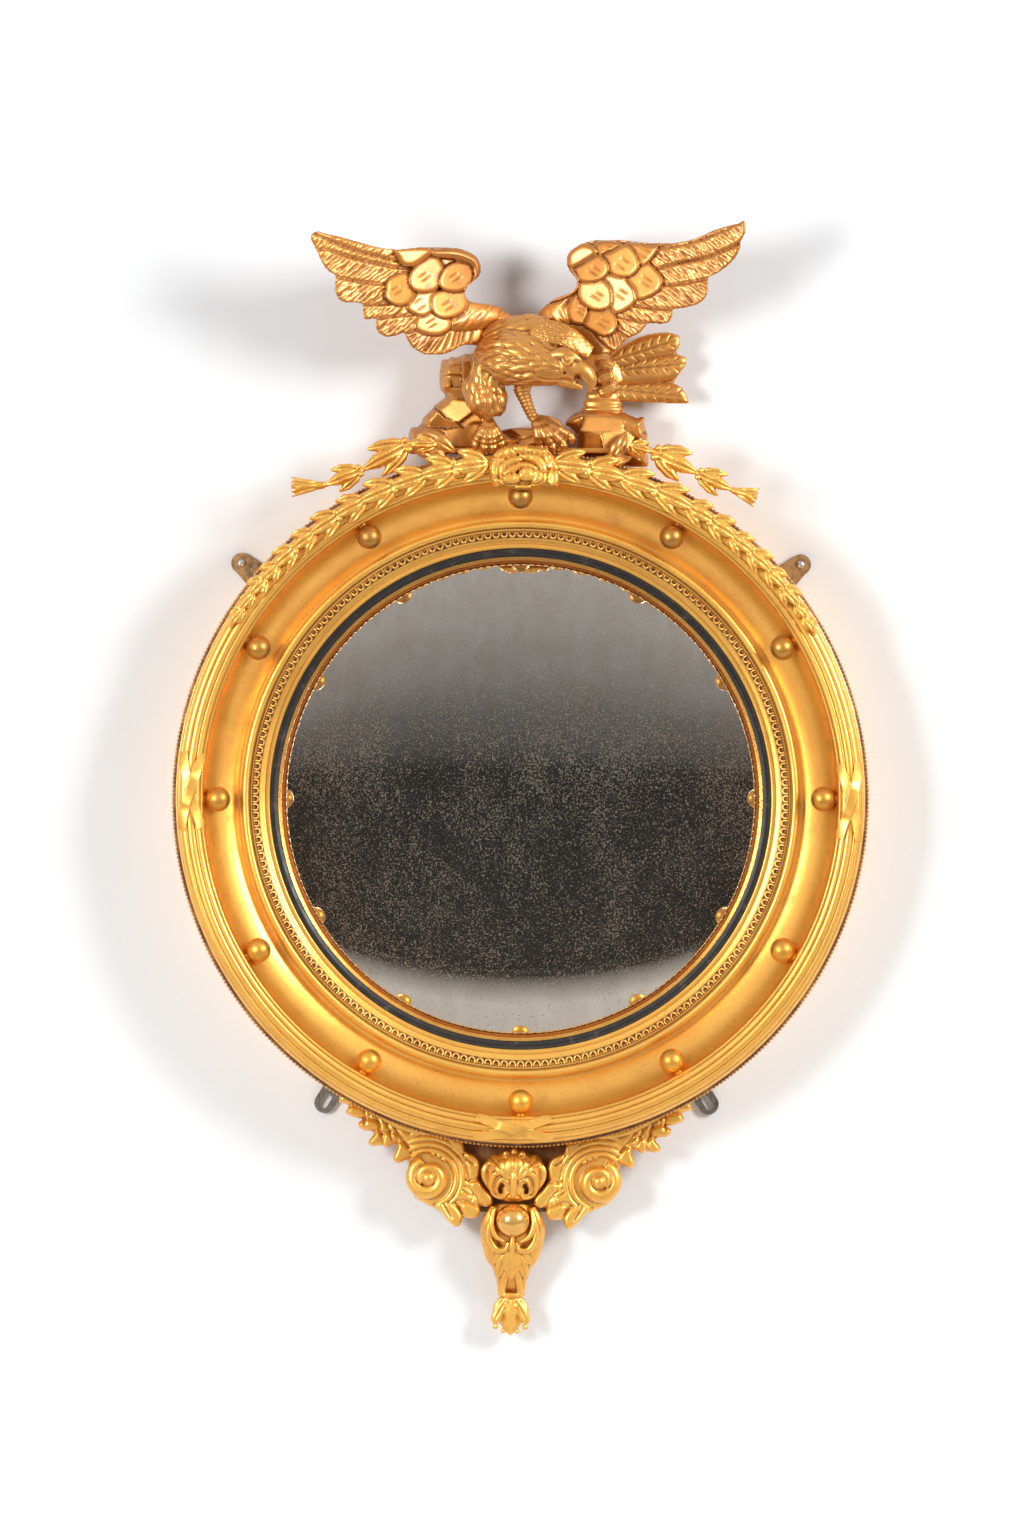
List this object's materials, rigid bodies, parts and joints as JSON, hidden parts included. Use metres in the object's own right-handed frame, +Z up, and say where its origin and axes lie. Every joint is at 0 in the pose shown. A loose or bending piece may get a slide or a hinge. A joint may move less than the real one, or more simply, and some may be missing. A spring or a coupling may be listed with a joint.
{
  "type": "girandole mirror",
  "caption": "Wall mirror with a convex glass in a round gilded frame with balls in its hollow, a spread-winged eagle on rocks above and an acanthus apron below.",
  "frame": {"origin": "the ring's axis where it meets the wall, on the back of the middle backboard plank", "axes": "+Z up the wall, +Y into the wall, so the mirror faces -Y, and +X to the viewer's right"},
  "size_m": [0.698, 0.1871, 1.115],
  "materials": {
    "frame_gilding": "burnished and matt gold leaf over yellow bole on carved and turned wood, worn",
    "ball_gilding": "burnished gold leaf on turned wood, rubbed to the brown bole",
    "crest_gilding": "gold leaf over red bole on carved wood, toned and dusty in the hollows",
    "ebonised": "ebonised, semi-matt, rubbed at the edges",
    "mirror": "silvered convex glass, foxed with small brown specks",
    "pine": "bare aged softwood, sawn and planed",
    "ear_iron": "iron with worn bronze-coloured paint",
    "plate_steel": "dull grey steel, scuffed",
    "screw_steel": "zinc-plated steel"
  },
  "bodies": {
    "root": {"main_frame": "frame_gilding", "bead_edge": "frame_gilding", "sight_ornament": "frame_gilding", "ebonised_slip": "ebonised", "mirror_glass": "mirror", "retaining_hoop": "pine", "backboard_1": "pine", "backboard_2": "pine", "backboard_3": "pine", "board_screw_1": "screw_steel", "board_screw_2": "screw_steel", "board_screw_3": "screw_steel", "board_screw_4": "screw_steel", "board_screw_5": "screw_steel", "board_screw_6": "screw_steel", "ball_01": "ball_gilding", "ball_02": "ball_gilding", "ball_03": "ball_gilding", "ball_04": "ball_gilding", "ball_05": "ball_gilding", "ball_06": "ball_gilding", "ball_07": "ball_gilding", "ball_08": "ball_gilding", "ball_09": "ball_gilding", "ball_10": "ball_gilding", "ball_11": "ball_gilding", "ball_12": "ball_gilding", "tie_bottom": "frame_gilding", "tie_left": "frame_gilding", "tie_right": "frame_gilding", "ear_left": "ear_iron", "wall_screw_left": "screw_steel", "slotted_plate_left": "plate_steel", "ear_right": "ear_iron", "wall_screw_right": "screw_steel", "slotted_plate_right": "plate_steel", "ear_left_screw": "screw_steel", "ear_right_screw": "screw_steel", "slotted_left_screw": "screw_steel", "slotted_right_screw": "screw_steel", "crest_base": "crest_gilding", "rock_left": "crest_gilding", "rock_right": "crest_gilding", "eagle_body": "crest_gilding", "eagle_wing_left": "crest_gilding", "eagle_wing_right": "crest_gilding", "eagle_tail": "crest_gilding", "eagle_leg_left": "crest_gilding", "eagle_leg_right": "crest_gilding", "rosette": "crest_gilding", "swag_left": "crest_gilding", "swag_right": "crest_gilding", "spray_left": "crest_gilding", "spray_right": "crest_gilding", "apron_cleat": "pine", "apron_scroll_left": "frame_gilding", "apron_scroll_right": "frame_gilding", "apron_boss": "frame_gilding", "apron_pendant": "frame_gilding"}
  },
  "joints": []
}
